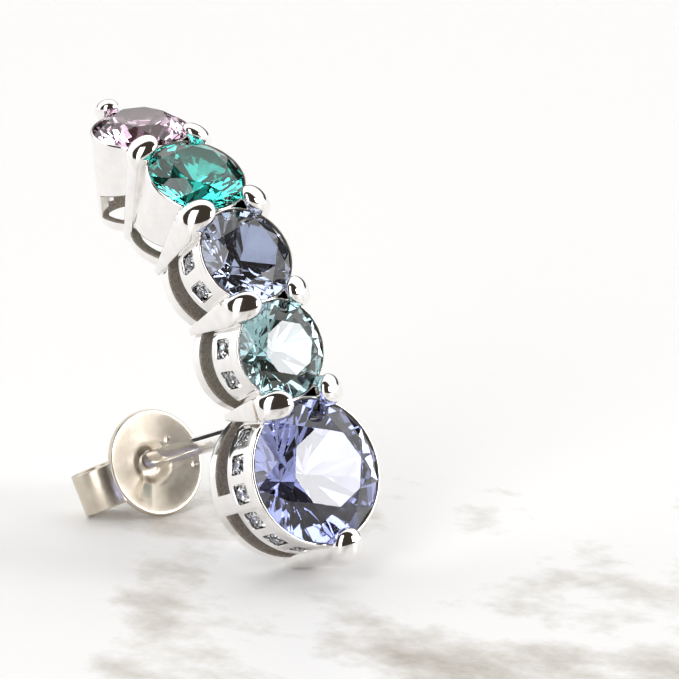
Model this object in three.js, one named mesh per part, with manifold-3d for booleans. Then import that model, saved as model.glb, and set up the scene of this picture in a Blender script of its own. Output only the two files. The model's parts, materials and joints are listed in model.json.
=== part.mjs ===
// An ear climber: five claw-set round stones in a row of cast baskets that bends back over the
// ear, small accent stones set in the basket walls, a soldered ear post and a butterfly ear nut.
//
// Lengths are in millimetres and named angles in degrees. The piece is made in the row frame:
// x runs across the row, +y runs from the face of the violet stone back towards the ear, and
// +z runs up the row. settled() then turns the finished assembly to lie on a flat surface.

import * as THREE from 'three';
import { mergeVertices } from 'three/addons/utils/BufferGeometryUtils.js';
import { ConvexGeometry } from 'three/addons/geometries/ConvexGeometry.js';
import { ConvexHull } from 'three/addons/math/ConvexHull.js';
import Module from 'manifold-3d';

const wasm = await Module();
wasm.setup();

// ---------------------------------------------------------------- driving dimensions

// The row of stones from the lowest up. pitch is the distance from the stone below, and lean
// is how far the stone's face is tipped towards the top of the row. The basket's edges are given
// as depths below the girdle at the lower and at the upper edge of the stone: the lower edge of
// the collar, the upper edge of the base rail and its back. rim is the metal outside the stone's
// edge, and flare is what the basket's radius gains for each millimetre of depth.
const ROW = [
  {
    name: 'violet', diameter: 6.0, pitch: 0, lean: 0,
    collar: [1.95, 1.95], rail: [2.78, 2.78], back: [3.3, 3.3], rim: 0.18, flare: 0.015,
  },
  {
    name: 'aqua', diameter: 4.1, pitch: 5.25, lean: -3.4,
    collar: [1.95, 1.95], rail: [2.78, 2.78], back: [3.3, 3.3], rim: 0.13, flare: 0.03,
  },
  {
    name: 'blue', diameter: 4.1, pitch: 4.18, lean: 14,
    collar: [1.95, 2.0], rail: [2.78, 2.83], back: [3.3, 3.4], rim: 0.13, flare: 0.03,
  },
  {
    name: 'green', diameter: 4.1, pitch: 4.2, lean: 38,
    collar: [2.37, 3.2], rail: [3.0, 3.75], back: [3.6, 4.2], rim: 0.13, flare: -0.05,
  },
  {
    name: 'pink', diameter: 4.0, pitch: 4.0, lean: 62,
    collar: [1.95, 3.1], rail: [3.4, 3.6], back: [3.95, 3.95], rim: 0.12, flare: -0.08,
  },
];

// Round brilliant cut, as fractions of the stone's diameter.
const CUT = { table: 0.57, crown: 0.15, girdle: 0.03, pavilion: 0.43, star: 0.5, lowerHalf: 0.22 };

const FIT = 0.03; // clearance round every stone
const ROUND = 40; // sides of a round basket
const LAP = 0.02; // overlap that joins one basket to the next

const BASKET = {
  lip: 0.08, // rim above the middle of the girdle
  ledge: 0.45, // metal under the stone's edge
  web: 0.5, // wall between two neighbouring baskets
  headroom: 2, // kept free in front of a stone
};

// Claws shared by two neighbours, lowest pair first: half the distance between the two beads,
// between their two feet, the depth of the feet, and half the claw's width at shoulder and foot.
const SHARED_CLAWS = [
  { bead: 1.33, foot: 1.2, depth: 3.3, shoulder: 0.45, toe: 0.14 },
  { bead: 1.39, foot: 1.72, depth: 3.05, shoulder: 0.48, toe: 0.14 },
  { bead: 1.31, foot: 1.78, depth: 3.3, shoulder: 0.46, toe: 0.14 },
  { bead: 1.4, foot: 1.42, depth: 3.8, shoulder: 0.36, toe: 0.26 },
];
const CLAW = {
  beadRadius: 0.57,
  beadHeight: 0.65,
  shoulderDepth: 0.35,
  splay: 0.1, // of the shoulder beyond the middle of the bead
  thickness: 0.42,
  toeThickness: 0.24,
  root: 0.1, // of an end claw inside the wall
  sides: 12,
  beadRings: 8,
  chamfer: 0.12, // along the edges of an end claw's bar
};

// Single claws at the two ends of the row, on its centre line. reach is how far the bead's
// centre lies beyond the stone's edge; swell and toe are how far the bar stands out beyond it.
// The bars are halfWidth wide at the bead and toeHalfWidth at the back.
const LOW_CLAW = {
  beadRadius: 0.62,
  beadHeight: 0.65,
  reach: 0.32,
  halfWidth: 0.55,
  swell: 0.93,
  toeHalfWidth: 0.68,
  toe: 0.62,
};
const TOP_CLAW = {
  beadRadius: 0.5,
  beadHeight: 0.3,
  reach: 0.38,
  halfWidth: 0.4,
  swell: 0.5,
  toeHalfWidth: 0.4,
  toe: 0.2,
};

// Struts that cross the gap between collar and base rail: angle from the side of the basket
// towards the top of the row, and width.
const STRUTS = { violet: { angle: -5, width: 0.87 }, pink: { angle: 22, width: 0.6 } };

// Accent stones in the basket walls: angles from the side of the basket towards the top of
// the row, the same on both sides.
const ACCENT_ANGLES = {
  violet: [45, 22.5, 0, -22.5, -45, -67.5],
  aqua: [18, -18],
  blue: [18, -18],
};
const ACCENT = {
  diameter: 0.76,
  depth: 1.03, // of its centre below the girdle
  inset: 0.12, // of its girdle behind the face of the wall
  windowWidth: 0.84,
  windowHeight: 0.94,
  windowDepth: 0.32,
  bore: 0.7, // width of the hole behind the stone, as a share of the window
  boreSides: 8,
  overcut: 1, // of window and hole beyond the face of the wall
};

const BACK = ROW[0].back[0]; // the back of the violet basket, which lies against the ear
const POST = { radius: 0.4, length: 11, height: 2.4, sides: 20, tip: 0.15 };
const BRIDGE = { halfWidth: 1.7, low: 1.85, high: 3.0, thickness: 0.6 };

const NUT = {
  standoff: 8.0, // from the back of the base rail to the rim of the nut
  turn: 5.5, // turn of the strip about the post
  holeOffset: [0.17, 0.15], // of the hole from the middle of the pad, across and up the row
  padRadius: 2.32,
  padThickness: 0.26,
  padRings: [0, 0.9, 1.35, 1.8],
  padSides: 18,
  padTurn: -1, // of the pad's sides, which leaves one of them level where it touches the surface
  dish: 0.42, // hollow of the pad at its middle
  dishPower: 1.5,
  holeRadius: 0.46,
  stripDrop: 0.137, // of the strip below the middle of the pad
  stripWidth: 1.8,
  stripThickness: 0.26,
  // The two scrolls: the middle of the roll from the middle of the pad, how far behind the rim
  // the strip leaves the pad, and the radius of the roll outside and where it ends.
  scrolls: [
    { centre: -2.05, start: 0.18, radius: 1.1, innerRadius: 0.62 },
    { centre: 1.55, start: 0.3, radius: 0.9, innerRadius: 0.5 },
  ],
  scrollTurns: 1.12,
  scrollSteps: 24,
  rollStart: 0.35, // share of the roll after which it tightens
};

// Grams per cubic millimetre, for the balance of the piece where it lies.
const SILVER = 0.0103;
const STONE = 0.0057;

// The way that faces down where it lies, and how far the flat foot of the low claw reaches that
// way from the violet stone's centre.
const UNDERSIDE = [-0.0575, 0.3827, -0.9221];
const FOOT = 4.49;

// ---------------------------------------------------------------- solids and frames

const FAR = 12; // larger than any basket
const WELD = 1e-5; // corners closer than this are one

const rad = THREE.MathUtils.degToRad;

function toSolid(geometry) {
  const bare = geometry.clone();
  bare.deleteAttribute('normal');
  bare.deleteAttribute('uv');
  const merged = mergeVertices(bare, WELD);
  const corner = merged.attributes.position;
  const index = merged.index.array;
  const triVerts = [];
  for (let i = 0; i < index.length; i += 3) {
    const [a, b, c] = [index[i], index[i + 1], index[i + 2]];
    if (a !== b && b !== c && c !== a) triVerts.push(a, b, c);
  }
  let volume = 0;
  for (let i = 0; i < triVerts.length; i += 3) {
    const [a, b, c] = [0, 1, 2].map((k) => new THREE.Vector3().fromBufferAttribute(corner, triVerts[i + k]));
    volume += a.dot(b.cross(c));
  }
  if (volume < 0) triVerts.reverse();
  const mesh = new wasm.Mesh({
    numProp: 3,
    vertProperties: new Float32Array(corner.array),
    triVerts: new Uint32Array(triVerts),
  });
  return new wasm.Manifold(mesh);
}

function toGeometry(solid) {
  const mesh = solid.getMesh();
  const geometry = new THREE.BufferGeometry();
  geometry.setAttribute('position', new THREE.BufferAttribute(mesh.vertProperties, 3));
  geometry.setIndex(new THREE.BufferAttribute(mesh.triVerts, 1));
  return geometry;
}

function placed(solid, matrix) {
  return solid.transform(matrix.elements);
}

function joined(solids) {
  return solids.reduce((whole, solid) => whole.add(solid));
}

function lathed(profile, sides) {
  return toSolid(new THREE.LatheGeometry(profile.map(([r, y]) => new THREE.Vector2(r, y)), sides));
}

// A box between two corners.
function block([x0, y0, z0], [x1, y1, z1]) {
  const box = new THREE.BoxGeometry(x1 - x0, y1 - y0, z1 - z0);
  box.translate((x0 + x1) / 2, (y0 + y1) / 2, (z0 + z1) / 2);
  return toSolid(box);
}

// A frame at (0, y, z) whose face is tipped up the row by lean.
function leaning(y, z, lean) {
  const tip = new THREE.Matrix4().makeRotationX(-rad(lean));
  return new THREE.Matrix4().makeTranslation(0, y, z).multiply(tip);
}

// A frame on the wall of a basket: +x runs out of the wall, y stays along the stone's axis.
// side is 1 or -1, and angle is measured from that side towards the top of the row.
function onWall(side, angle) {
  const outward = side > 0 ? -rad(angle) : Math.PI + rad(angle);
  return new THREE.Matrix4().makeRotationY(outward);
}

// Each stone's frame, its centre on the girdle, its axis along y and its face towards -y.
const seats = [];
for (const [k, stone] of ROW.entries()) {
  const below = seats[k - 1] ?? { y: 0, z: 0, lean: 0 };
  const way = rad((below.lean + stone.lean) / 2);
  const y = below.y + stone.pitch * Math.sin(way);
  const z = below.z + stone.pitch * Math.cos(way);
  seats.push({ ...stone, y, z, radius: stone.diameter / 2, frame: leaning(y, z, stone.lean) });
}

// The planes where neighbours meet, halfway between their edges.
const junctions = seats.slice(1).map((upper, k) => {
  const lower = seats[k];
  const share = (lower.radius + upper.pitch - upper.radius) / 2 / upper.pitch;
  const y = lower.y + share * (upper.y - lower.y);
  const z = lower.z + share * (upper.z - lower.z);
  return leaning(y, z, (lower.lean + upper.lean) / 2);
});

// What is left of a solid in stone k's own length of the row, less a margin at each neighbour.
function withinRow(solid, k, margin) {
  let kept = solid;
  const beyond = block([-FAR, -FAR, -margin], [FAR, FAR, FAR]);
  const before = block([-FAR, -FAR, -FAR], [FAR, FAR, margin]);
  if (k < junctions.length) kept = kept.subtract(placed(beyond, junctions[k]));
  if (k > 0) kept = kept.subtract(placed(before, junctions[k - 1]));
  return kept;
}

// Everything behind one edge of a basket: its collar, its rail or its back.
function behind(seat, edge) {
  const [low, high] = seat[edge];
  const slant = THREE.MathUtils.radToDeg(Math.atan2(high - low, seat.diameter));
  const plane = leaning((low + high) / 2, 0, slant);
  return placed(block([-FAR, 0, -FAR], [FAR, FAR, FAR]), seat.frame.clone().multiply(plane));
}

// ---------------------------------------------------------------- stones

// The plain eight-sided cut of the smallest stones, placed as brilliant() is.
function singleCut(diameter) {
  const radius = diameter / 2;
  const girdle = (CUT.girdle * diameter) / 2;
  const points = [new THREE.Vector3(0, girdle + CUT.pavilion * diameter, 0)];
  const table = [CUT.table * radius, -girdle - CUT.crown * diameter];
  for (const [r, y] of [table, [radius, -girdle], [radius, girdle]]) {
    for (let i = 0; i < 8; i += 1) {
      const a = (i * Math.PI) / 4;
      points.push(new THREE.Vector3(r * Math.cos(a), y, r * Math.sin(a)));
    }
  }
  return toSolid(new ConvexGeometry(points));
}

// A round brilliant on the y axis, table towards -y, the middle of its girdle at y = 0.
function brilliant(diameter) {
  const radius = diameter / 2;
  const table = CUT.table * radius;
  const crown = CUT.crown * diameter;
  const girdle = (CUT.girdle * diameter) / 2;
  const pavilion = CUT.pavilion * diameter;
  const eighth = Math.PI / 4;
  const half = Math.cos(eighth / 2);
  const starTip = THREE.MathUtils.lerp(table * half, radius, CUT.star);
  const starHeight = (crown * (radius - starTip * half)) / (radius - table);
  const lowerTip = CUT.lowerHalf * radius;
  const lowerDepth = pavilion * (1 - (lowerTip * half) / radius);
  const points = [new THREE.Vector3(0, girdle + pavilion, 0)];
  const ring = (count, start, r, y) => {
    for (let i = 0; i < count; i += 1) {
      const a = start + (i * 2 * Math.PI) / count;
      points.push(new THREE.Vector3(r * Math.cos(a), y, r * Math.sin(a)));
    }
  };
  ring(8, 0, table, -girdle - crown);
  ring(8, eighth / 2, starTip, -girdle - starHeight);
  ring(16, 0, radius, -girdle);
  ring(16, 0, radius, girdle);
  ring(8, eighth / 2, lowerTip, girdle + lowerDepth);
  return toSolid(new ConvexGeometry(points));
}

// ---------------------------------------------------------------- setting

// The outside of one basket, from its rim to the back of its base rail.
function basketShell(seat, k) {
  const outer = seat.radius + seat.rim;
  const deep = outer + seat.flare * FAR;
  const shell = lathed([[0, -BASKET.lip], [outer, -BASKET.lip], [deep, FAR], [0, FAR]], ROUND);
  return withinRow(placed(shell, seat.frame), k, -LAP).subtract(behind(seat, 'back'));
}

// The room that a stone takes up: its seat, and everything straight in front of it.
function stoneRoom({ radius, diameter }) {
  const edge = radius + FIT;
  const inner = radius - BASKET.ledge;
  const girdle = (CUT.girdle * diameter) / 2 + FIT;
  const slope = (CUT.pavilion * diameter) / radius;
  const ledge = girdle + slope * (edge - inner);
  const front = -BASKET.headroom;
  return lathed([[0, front], [edge, front], [edge, girdle], [inner, ledge], [0, ledge]], ROUND);
}

function basketBore({ radius }) {
  const inner = radius - BASKET.ledge;
  return lathed([[0, 0], [inner, 0], [inner, FAR], [0, FAR]], ROUND);
}

// The open gap between the collar and the base rail, broken by struts and by the end claws.
function basketGap(seat, k) {
  const inner = (seat.radius - BASKET.ledge) / 2;
  let gap = lathed([[inner, 0], [FAR, 0], [FAR, FAR], [inner, FAR], [inner, 0]], ROUND);
  const strut = STRUTS[seat.name];
  if (strut) {
    const bar = block([0, 0, -strut.width / 2], [FAR, FAR, strut.width / 2]);
    for (const side of [-1, 1]) gap = gap.subtract(placed(bar, onWall(side, strut.angle)));
  }
  if (k === 0) gap = gap.subtract(block([-LOW_CLAW.halfWidth, 0, -FAR], [LOW_CLAW.halfWidth, FAR, 0]));
  if (k === seats.length - 1) {
    gap = gap.subtract(block([-TOP_CLAW.halfWidth, 0, 0], [TOP_CLAW.halfWidth, FAR, FAR]));
  }
  const band = behind(seat, 'collar').subtract(behind(seat, 'rail'));
  return withinRow(placed(gap, seat.frame), k, BASKET.web / 2).intersect(band);
}

// The places of the accent stones in one basket: frames at the face of the wall, -y outward.
function accentFrames(seat) {
  const frames = [];
  for (const side of [-1, 1]) {
    for (const angle of ACCENT_ANGLES[seat.name] ?? []) {
      const wall = seat.radius + seat.rim + seat.flare * ACCENT.depth;
      const face = new THREE.Matrix4().makeTranslation(wall, ACCENT.depth, 0);
      const outward = new THREE.Matrix4().makeRotationZ(Math.PI / 2);
      frames.push(seat.frame.clone().multiply(onWall(side, angle)).multiply(face).multiply(outward));
    }
  }
  return frames;
}

function accentWindow() {
  const wide = ACCENT.windowWidth / 2;
  const tall = ACCENT.windowHeight / 2;
  const narrow = wide * ACCENT.bore;
  const pocket = block([-tall, -ACCENT.overcut, -wide], [tall, ACCENT.windowDepth, wide]);
  const bore = new THREE.CylinderGeometry(narrow, narrow, 2 * ACCENT.overcut, ACCENT.boreSides);
  return pocket.add(toSolid(bore));
}

// A rounded section of a claw across the y axis.
function section(x, y, z, halfX, halfZ) {
  const points = [];
  for (let i = 0; i < CLAW.sides; i += 1) {
    const a = (i * 2 * Math.PI) / CLAW.sides;
    points.push(new THREE.Vector3(x + halfX * Math.cos(a), y, z + halfZ * Math.sin(a)));
  }
  return points;
}

// A flat-sided section of an end claw's bar across the y axis, its corners cut off.
function barSection(y, z, halfX, halfZ) {
  const points = [];
  for (const way of [-1, 1]) {
    for (const side of [-1, 1]) {
      points.push(new THREE.Vector3(side * (halfX - CLAW.chamfer), y, z + way * halfZ));
      points.push(new THREE.Vector3(side * halfX, y, z + way * (halfZ - CLAW.chamfer)));
    }
  }
  return points;
}

function bead(x, y, z, radius) {
  const ball = new THREE.SphereGeometry(radius, CLAW.sides, CLAW.beadRings).translate(x, y, z);
  const at = ball.attributes.position;
  return Array.from({ length: at.count }, (_, i) => new THREE.Vector3().fromBufferAttribute(at, i));
}

// A claw is a bead drawn into a shoulder, and the shoulder drawn down into a narrow toe.
function claw(head, shoulder, toe) {
  const upper = toSolid(new ConvexGeometry([...head, ...shoulder]));
  const lower = toSolid(new ConvexGeometry([...shoulder, ...toe]));
  return upper.add(lower);
}

function sharedClaws() {
  const { beadRadius, beadHeight, shoulderDepth, splay, thickness, toeThickness } = CLAW;
  const claws = [];
  for (const [k, row] of SHARED_CLAWS.entries()) {
    for (const side of [-1, 1]) {
      const head = bead(side * row.bead, -beadHeight, 0, beadRadius);
      const share = shoulderDepth / row.depth;
      const x = side * THREE.MathUtils.lerp(row.bead + splay, row.foot, share);
      const shoulder = section(x, shoulderDepth, 0, thickness, row.shoulder);
      const toe = section(side * row.foot, row.depth, 0, toeThickness, row.toe);
      claws.push(placed(claw(head, shoulder, toe), junctions[k]));
    }
  }
  return claws;
}

// way is -1 for the claw below the lowest stone and 1 for the claw above the top one.
function endClaw(seat, spec, way) {
  const edge = seat.radius;
  const back = way < 0 ? seat.back[0] : seat.back[1];
  const head = bead(0, -spec.beadHeight, way * (edge + spec.reach), spec.beadRadius);
  const bar = (y, halfX, out) => {
    const middle = edge + (out - CLAW.root) / 2;
    return barSection(y, way * middle, halfX, (out + CLAW.root) / 2);
  };
  const shoulder = bar(CLAW.shoulderDepth, spec.halfWidth, spec.swell);
  const solid = claw(head, shoulder, bar(back, spec.toeHalfWidth, spec.toe));
  return placed(solid, seat.frame);
}

// Everything under the surface that the piece lies on.
function belowFoot() {
  const turn = new THREE.Quaternion().setFromUnitVectors(
    new THREE.Vector3(0, 1, 0),
    new THREE.Vector3(...UNDERSIDE).normalize(),
  );
  const lowered = block([-FAR, FOOT, -FAR], [FAR, FOOT + FAR, FAR]);
  return placed(lowered, new THREE.Matrix4().makeRotationFromQuaternion(turn));
}

// The post is soldered to a bridge across the back of the violet basket, under the first web.
function postAndBridge() {
  const { radius, length, height, sides, tip } = POST;
  const end = BACK + length;
  const start = BACK - BRIDGE.thickness / 2;
  const profile = [[0, start], [radius, start], [radius, end - tip], [radius - tip, end], [0, end]];
  const post = lathed(profile, sides).translate([0, 0, height]);
  const front = BACK - BRIDGE.thickness;
  const bridge = block([-BRIDGE.halfWidth, front, BRIDGE.low], [BRIDGE.halfWidth, BACK, BRIDGE.high]);
  const ring = seats[0].radius + seats[0].rim / 2;
  const inside = lathed([[0, front], [ring, front], [ring, BACK], [0, BACK]], ROUND);
  return post.add(bridge.intersect(inside));
}

function makeSetting() {
  let body = joined(seats.map(basketShell));
  for (const [k, seat] of seats.entries()) {
    body = body.subtract(placed(stoneRoom(seat), seat.frame));
    body = body.subtract(withinRow(placed(basketBore(seat), seat.frame), k, BASKET.web / 2));
    body = body.subtract(basketGap(seat, k));
    for (const frame of accentFrames(seat)) body = body.subtract(placed(accentWindow(), frame));
  }
  const top = seats[seats.length - 1];
  const lowClaw = endClaw(seats[0], LOW_CLAW, -1).subtract(belowFoot());
  let claws = joined([...sharedClaws(), lowClaw, endClaw(top, TOP_CLAW, 1)]);
  for (const seat of seats) {
    claws = claws.subtract(placed(brilliant(seat.diameter + 2 * FIT), seat.frame));
  }
  return joined([body, claws, postAndBridge()]);
}

// ---------------------------------------------------------------- ear nut

// One scroll of the nut's strip, seen along its roll: out from the pad and rolled up behind it.
function scrollOutline({ centre, start, radius, innerRadius }) {
  const { scrollTurns, scrollSteps } = NUT;
  const half = NUT.stripThickness / 2;
  const outer = [];
  const inner = [];
  for (let i = 0; i <= scrollSteps; i += 1) {
    const share = i / scrollSteps;
    const a = -Math.PI / 2 + share * scrollTurns * 2 * Math.PI;
    const roll = THREE.MathUtils.smoothstep(share, NUT.rollStart, 1);
    const r = THREE.MathUtils.lerp(radius, innerRadius, roll);
    const way = new THREE.Vector2(Math.sign(centre) * Math.cos(a), Math.sin(a));
    const middle = new THREE.Vector2(centre, start + radius);
    outer.push(middle.clone().addScaledVector(way, r + half));
    inner.push(middle.clone().addScaledVector(way, r - half));
  }
  return new THREE.Shape([...outer, ...inner.reverse()]);
}

// The nut about the axis of its hole, the rim of its pad at y = 0.
function makeNut() {
  const { padRadius, padThickness, padRings, dish, stripWidth } = NUT;
  const front = (r) => dish * (1 - (r / padRadius) ** 2) ** NUT.dishPower;
  const face = [...padRings, padRadius].map((r) => [r, front(r)]);
  const back = face.map(([r, y]) => [r, y + padThickness]).reverse();
  const pad = lathed([...face, ...back], NUT.padSides).rotate([0, NUT.padTurn, 0]);
  const arms = NUT.scrolls.map((scroll) => {
    const arm = new THREE.ExtrudeGeometry(scrollOutline(scroll), {
      depth: stripWidth,
      bevelEnabled: false,
    });
    return toSolid(arm.translate(0, 0, -stripWidth / 2 - NUT.stripDrop));
  });
  const [across, up] = NUT.holeOffset;
  const body = joined([pad, ...arms]).translate([-across, 0, -up]);
  const hole = lathed([[0, -FAR], [NUT.holeRadius, -FAR], [NUT.holeRadius, FAR], [0, FAR]], POST.sides);
  return body.subtract(hole);
}

// ---------------------------------------------------------------- materials and assembly

function finish(color, roughness, metalness) {
  return new THREE.MeshStandardMaterial({ color, roughness, metalness, flatShading: true });
}

const rhodium = finish(0xe6e4e2, 0.12, 1);
const nickel = finish(0xcfc3ae, 0.2, 1);
const gemColours = { violet: 0x7f86cf, aqua: 0x7fb4bb, blue: 0x5d6a86, green: 0x0f8f7d, pink: 0xe6bfe0 };
const clear = finish(0xf2f4f6, 0.03, 0);

function part(name, solid, material) {
  const mesh = new THREE.Mesh(toGeometry(solid), material);
  mesh.name = name;
  return mesh;
}

const worn = new THREE.Group();
worn.name = 'worn_row';
worn.add(part('setting', makeSetting(), rhodium));

for (const seat of seats) {
  const stone = part(`stone_${seat.name}`, brilliant(seat.diameter), finish(gemColours[seat.name], 0.03, 0));
  stone.applyMatrix4(seat.frame);
  worn.add(stone);
}

for (const seat of seats) {
  for (const [i, frame] of accentFrames(seat).entries()) {
    const accent = part(`accent_${seat.name}_${i + 1}`, singleCut(ACCENT.diameter), clear);
    const inset = new THREE.Matrix4().makeTranslation(0, ACCENT.inset, 0);
    accent.applyMatrix4(frame.clone().multiply(inset));
    worn.add(accent);
  }
}

const nut = part('ear_nut', makeNut(), nickel);
nut.position.set(0, BACK + NUT.standoff, POST.height);
nut.rotation.y = -rad(NUT.turn);
worn.add(nut);

// ---------------------------------------------------------------- how it lies

// Turns the assembly onto the face of its convex outline that it comes to rest on: the one
// that holds the centre of mass above it and whose underside is nearest to the way given.
function settled(group, nearly) {
  group.updateMatrixWorld(true);
  const points = [];
  const balance = new THREE.Vector3();
  let mass = 0;
  group.traverse((item) => {
    if (!item.isMesh) return;
    const at = item.geometry.attributes.position;
    const corners = Array.from({ length: at.count }, (_, i) => (
      new THREE.Vector3().fromBufferAttribute(at, i).applyMatrix4(item.matrixWorld)
    ));
    points.push(...corners);
    const density = item.material.metalness > 0 ? SILVER : STONE;
    const index = item.geometry.index.array;
    for (let i = 0; i < index.length; i += 3) {
      const [a, b, c] = [corners[index[i]], corners[index[i + 1]], corners[index[i + 2]]];
      const weight = (density * a.dot(new THREE.Vector3().crossVectors(b, c))) / 6;
      mass += weight;
      balance.addScaledVector(new THREE.Vector3().add(a).add(b).add(c), weight / 4);
    }
  });
  balance.divideScalar(mass);

  let best = null;
  for (const face of new ConvexHull().setFromPoints(points).faces) {
    const ends = [];
    let edge = face.edge;
    do {
      ends.push([edge.tail().point, edge.head().point]);
      edge = edge.next;
    } while (edge !== face.edge);
    const held = ends.every(([tail, head]) => {
      const along = new THREE.Vector3().subVectors(head, tail);
      const out = new THREE.Vector3().crossVectors(along, face.normal);
      return out.dot(new THREE.Vector3().subVectors(balance, tail)) < 0;
    });
    if (held && (!best || face.normal.dot(nearly) > best.dot(nearly))) best = face.normal.clone();
  }

  const up = best.negate();
  const back = new THREE.Vector3(0, 1, 0).projectOnPlane(up).normalize();
  const across = new THREE.Vector3().crossVectors(back, up);
  const turned = new THREE.Matrix4().makeBasis(across, back, up).transpose();
  const box = new THREE.Box3();
  for (const point of points) box.expandByPoint(point.clone().applyMatrix4(turned));
  const middle = box.getCenter(new THREE.Vector3());
  const moved = new THREE.Matrix4().makeTranslation(-middle.x, -middle.y, -box.min.z);
  group.applyMatrix4(moved.multiply(turned));
  return group;
}

const earClimber = new THREE.Group();
earClimber.add(settled(worn, new THREE.Vector3(...UNDERSIDE)));

export default earClimber;
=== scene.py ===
# %% [markdown]
# # An ear climber in Blender
#
# An ear climber is an earring that runs up the edge of the ear. This one is a row of five round
# stones, each in its own cast basket, with claws between them, an ear post soldered to the back
# and a butterfly nut on the post. The construction is already settled: a imported model gives the
# place and size of every part, and it can't be moved. The lesson is the finish: how a bright
# plated casting, five cut stones and a stamped nut are made to look like metal and crystal.
#
# We load the frame first and keep its box, to print beside ours at the end.

import json
import math

import bmesh
import bpy
import numpy as np
from mathutils import Matrix, Vector


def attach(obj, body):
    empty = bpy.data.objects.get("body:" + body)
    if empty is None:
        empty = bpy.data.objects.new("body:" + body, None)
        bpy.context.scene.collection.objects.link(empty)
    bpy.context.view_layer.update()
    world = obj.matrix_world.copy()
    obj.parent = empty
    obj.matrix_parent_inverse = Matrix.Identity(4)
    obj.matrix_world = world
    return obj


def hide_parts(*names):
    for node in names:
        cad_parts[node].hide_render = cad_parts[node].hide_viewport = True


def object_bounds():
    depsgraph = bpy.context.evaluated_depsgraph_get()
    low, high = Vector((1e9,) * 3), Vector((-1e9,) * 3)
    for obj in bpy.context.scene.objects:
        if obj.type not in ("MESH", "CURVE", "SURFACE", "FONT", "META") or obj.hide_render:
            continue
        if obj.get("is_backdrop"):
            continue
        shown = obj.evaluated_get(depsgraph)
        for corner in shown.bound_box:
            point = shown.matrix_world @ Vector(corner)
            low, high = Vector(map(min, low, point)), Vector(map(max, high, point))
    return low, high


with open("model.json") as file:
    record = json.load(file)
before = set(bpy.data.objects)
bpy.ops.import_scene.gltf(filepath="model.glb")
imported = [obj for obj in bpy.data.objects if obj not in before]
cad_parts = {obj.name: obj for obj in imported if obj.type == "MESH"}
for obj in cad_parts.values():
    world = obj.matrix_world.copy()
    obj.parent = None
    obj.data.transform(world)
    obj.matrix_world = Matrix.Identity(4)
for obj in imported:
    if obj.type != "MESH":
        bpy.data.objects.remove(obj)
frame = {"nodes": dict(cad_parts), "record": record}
cad_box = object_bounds()
print("nodes in the frame:", len(frame["nodes"]))

# %% [markdown]
# ## Reading the row from its stones
#
# A goldsmith measures the stones before the setting is made, and so do we. In a round brilliant
# the table is the largest flat, so its normal is the stone's axis. The corners farthest from
# that axis lie on the girdle, and their average is the stone's centre. Nothing is typed in by
# hand, so the baskets made later always fit the stones that are there.

# %% Measure the stones
MM = 0.001  # one millimetre in the frame's metres
GIRDLE_BAND = 0.01  # how near the widest reach a corner counts as on the girdle, in millimetres
STONES = ["violet", "aqua", "blue", "green", "pink"]  # from the lowest up


def corners_of(node):
    points = np.array([v.co for v in frame["nodes"][node].data.vertices])
    return np.unique(np.round(points, 7), axis=0)


def table_normal(node):
    flats = {}
    for face in frame["nodes"][node].data.polygons:
        key = tuple(round(c, 2) for c in face.normal)
        area, normal = flats.get(key, (0.0, None))
        flats[key] = (area + face.area, face.normal.copy())
    return max(flats.values(), key=lambda flat: flat[0])[1].normalized()


def measure_stone(name):
    points = corners_of("stone_" + name)
    axis = np.array(table_normal("stone_" + name))
    middle = points.mean(axis=0)
    off = points - middle
    off -= np.outer(off @ axis, axis)
    reach = np.linalg.norm(off, axis=1)
    girdle = points[reach > reach.max() - GIRDLE_BAND * MM]
    return Vector(girdle.mean(axis=0)), Vector(axis), reach.max() / MM


measured = {name: measure_stone(name) for name in STONES}
for name, (_, _, radius) in measured.items():
    print(f"{name}: {2 * radius:.2f} mm across")

# %% [markdown]
# ## The row frame
#
# The part lies on its side as a real one would on a table, so nothing in it is upright. Shapes
# are much easier to think about along the row itself. We make a frame at the violet stone: x
# across the row, y from its face back to the ear, z up the row. Every stone's centre lies in
# the plane x = 0, so a seat is only y, z and a lean. We model in millimetres in this frame and
# turn each finished mesh into the world once, at the end.

# %% The row frame and the seats
violet_centre, violet_axis, _ = measured["violet"]
row_x = measured["pink"][1].cross(violet_axis).normalized()
row_y = -violet_axis
row_z = row_x.cross(row_y)
ROW = Matrix.Translation(violet_centre) @ Matrix((row_x, row_y, row_z)).transposed().to_4x4()
ROW = ROW @ Matrix.Scale(MM, 4)
TO_ROW = ROW.inverted()


def leaning(y, z, lean):
    """A frame at (0, y, z) whose face is tipped up the row by lean radians."""
    return Matrix.Translation((0, y, z)) @ Matrix.Rotation(-lean, 4, "X")


class Seat:
    """One stone's place: its name, radius, lean and frame, in the row frame."""

    def __init__(self, name):
        centre, axis, self.radius = measured[name]
        self.name = name
        place = TO_ROW @ centre
        self.y, self.z = place.y, place.z
        self.lean = math.atan2(axis.dot(row_z), -axis.dot(row_y))
        self.frame = leaning(self.y, self.z, self.lean)


seats = [Seat(name) for name in STONES]
for seat in seats:
    print(f"{seat.name}: y {seat.y:.2f}, z {seat.z:.2f} mm, lean {math.degrees(seat.lean):.1f} degrees")


def junction(lower, upper):
    """The plane where two neighbours meet, halfway between their edges."""
    pitch = math.hypot(upper.y - lower.y, upper.z - lower.z)
    share = (lower.radius + pitch - upper.radius) / 2 / pitch
    y = lower.y + share * (upper.y - lower.y)
    z = lower.z + share * (upper.z - lower.z)
    return leaning(y, z, (lower.lean + upper.lean) / 2)


junctions = [junction(a, b) for a, b in zip(seats, seats[1:])]

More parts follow.
